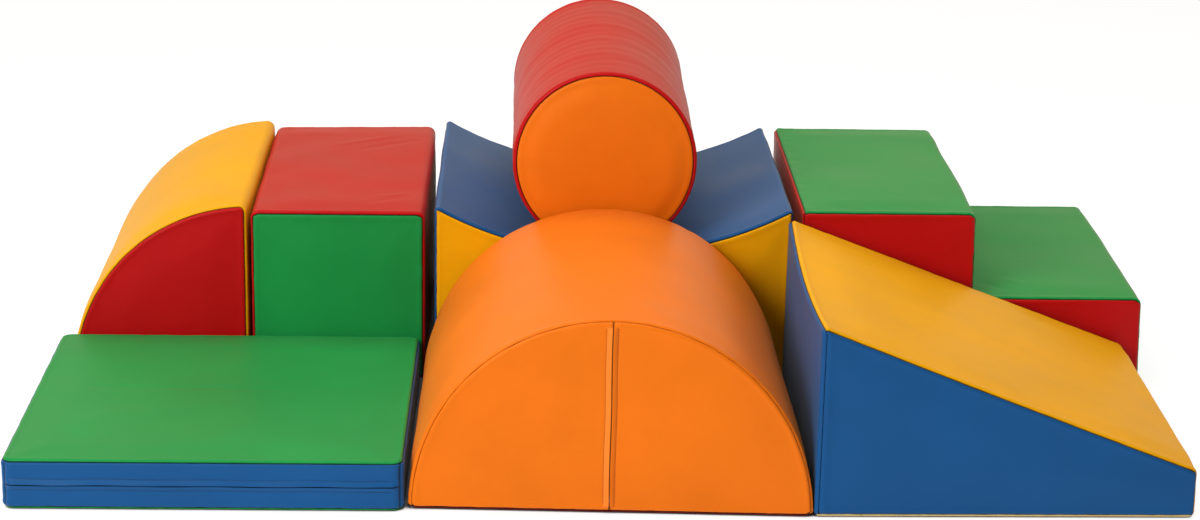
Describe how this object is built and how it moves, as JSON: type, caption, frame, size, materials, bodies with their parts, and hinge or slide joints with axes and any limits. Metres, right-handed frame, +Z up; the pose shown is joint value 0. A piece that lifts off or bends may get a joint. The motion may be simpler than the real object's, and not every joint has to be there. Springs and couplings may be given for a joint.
{
  "type": "soft play foam climber",
  "caption": "Soft play climber of vinyl-covered foam blocks: mat, half-round, ramp, quarter-round, cube, cradle with a turning roller, and steps, each with a zipped cover.",
  "frame": {"origin": "centre of the footprint on the floor", "axes": "+X to the right along the long side, +Y away from the viewer, +Z up"},
  "size_m": [1.867, 1.2278, 0.5453],
  "materials": {
    "foam": "matte",
    "vinyl_green": "satin",
    "vinyl_blue": "satin",
    "vinyl_orange": "satin",
    "vinyl_yellow": "satin",
    "vinyl_red": "satin",
    "vinyl_dark_red": "satin",
    "vinyl_cream": "satin",
    "zip_tape": "matte",
    "zip_slider": "satin"
  },
  "bodies": {
    "floor_mat": {"floor_mat_core": "foam", "floor_mat_side_band": "vinyl_blue", "floor_mat_front_lower": "vinyl_blue", "floor_mat_front_upper": "vinyl_blue", "floor_mat_base": "vinyl_green", "floor_mat_top": "vinyl_green", "floor_mat_zip_tape": "zip_tape"},
    "half_round": {"half_round_core": "foam", "half_round_barrel": "vinyl_orange", "half_round_base": "vinyl_dark_red", "half_round_front_right": "vinyl_orange", "half_round_front_left": "vinyl_orange", "half_round_back": "vinyl_orange", "half_round_zip_tape": "zip_tape"},
    "ramp": {"ramp_core": "foam", "ramp_tall_end": "vinyl_blue", "ramp_slope": "vinyl_yellow", "ramp_base": "vinyl_cream", "ramp_front": "vinyl_blue", "ramp_back": "vinyl_blue", "ramp_zip_tape": "zip_tape"},
    "quarter_round": {"quarter_round_core": "foam", "quarter_round_strip": "vinyl_yellow", "quarter_round_base": "vinyl_yellow", "quarter_round_front": "vinyl_red", "quarter_round_back": "vinyl_red", "quarter_round_zip_tape": "zip_tape"},
    "block": {"block_core": "foam", "block_strip": "vinyl_red", "block_base": "vinyl_red", "block_front": "vinyl_green", "block_back": "vinyl_green", "block_zip_tape": "zip_tape"},
    "cradle": {"cradle_core": "foam", "cradle_strip": "vinyl_blue", "cradle_base": "vinyl_blue", "cradle_front": "vinyl_yellow", "cradle_back": "vinyl_yellow", "cradle_zip_tape": "zip_tape"},
    "stairs": {"stairs_core": "foam", "stairs_tall_end": "vinyl_red", "stairs_tread_strip": "vinyl_green", "stairs_base": "vinyl_red", "stairs_front": "vinyl_red", "stairs_back": "vinyl_red", "stairs_zip_tape": "zip_tape"},
    "roller": {"roller_core": "foam", "roller_barrel": "vinyl_red", "roller_front_disc": "vinyl_orange", "roller_back_disc": "vinyl_orange", "roller_zip_tape": "zip_tape"},
    "floor_mat_slider": {"floor_mat_zip_slider": "zip_slider"},
    "half_round_slider": {"half_round_zip_slider": "zip_slider"},
    "ramp_slider": {"ramp_zip_slider": "zip_slider"},
    "quarter_round_slider": {"quarter_round_zip_slider": "zip_slider"},
    "block_slider": {"block_zip_slider": "zip_slider"},
    "cradle_slider": {"cradle_zip_slider": "zip_slider"},
    "stairs_slider": {"stairs_zip_slider": "zip_slider"},
    "roller_slider": {"roller_zip_slider": "zip_slider"}
  },
  "joints": [
    {"name": "floor_mat_pull", "type": "slide", "parent": "cradle", "child": "floor_mat", "axis": [0, -1, 0], "range_m": [0, 0.65]},
    {"name": "half_round_pull", "type": "slide", "parent": "cradle", "child": "half_round", "axis": [0, -1, 0], "range_m": [0, 0.65]},
    {"name": "ramp_pull", "type": "slide", "parent": "cradle", "child": "ramp", "axis": [0, -1, 0], "range_m": [0, 0.65]},
    {"name": "quarter_round_pull", "type": "slide", "parent": "cradle", "child": "quarter_round", "axis": [0, 1, 0], "range_m": [0, 0.65]},
    {"name": "block_pull", "type": "slide", "parent": "cradle", "child": "block", "axis": [0, 1, 0], "range_m": [0, 0.65]},
    {"name": "stairs_pull", "type": "slide", "parent": "cradle", "child": "stairs", "axis": [0, 1, 0], "range_m": [0, 0.65]},
    {"name": "roller_turn", "type": "hinge", "parent": "cradle", "child": "roller", "pos_m": [-0.0025, 0.308, 0.38926], "axis": [0, 1, 0], "continuous": true},
    {"name": "floor_mat_zip", "type": "slide", "parent": "floor_mat", "child": "floor_mat_slider", "axis": [1, 0, 0], "range_m": [0, 0.5048]},
    {"name": "half_round_zip", "type": "slide", "parent": "half_round", "child": "half_round_slider", "axis": [0, 0, 1], "range_m": [0, 0.2648]},
    {"name": "ramp_zip", "type": "slide", "parent": "ramp", "child": "ramp_slider", "axis": [1, 0, 0], "range_m": [0, 0.4758]},
    {"name": "quarter_round_zip", "type": "slide", "parent": "quarter_round", "child": "quarter_round_slider", "axis": [1, 0, 0], "range_m": [0, 0.1794]},
    {"name": "block_zip", "type": "slide", "parent": "block", "child": "block_slider", "axis": [1, 0, 0], "range_m": [0, 0.1878]},
    {"name": "cradle_zip", "type": "slide", "parent": "cradle", "child": "cradle_slider", "axis": [1, 0, 0], "range_m": [0, 0.4988]},
    {"name": "stairs_zip", "type": "slide", "parent": "stairs", "child": "stairs_slider", "axis": [1, 0, 0], "range_m": [0, 0.4858]},
    {"name": "roller_zip", "type": "slide", "parent": "roller", "child": "roller_slider", "axis": [0, 0, 1], "range_m": [0, 0.2048]}
  ]
}
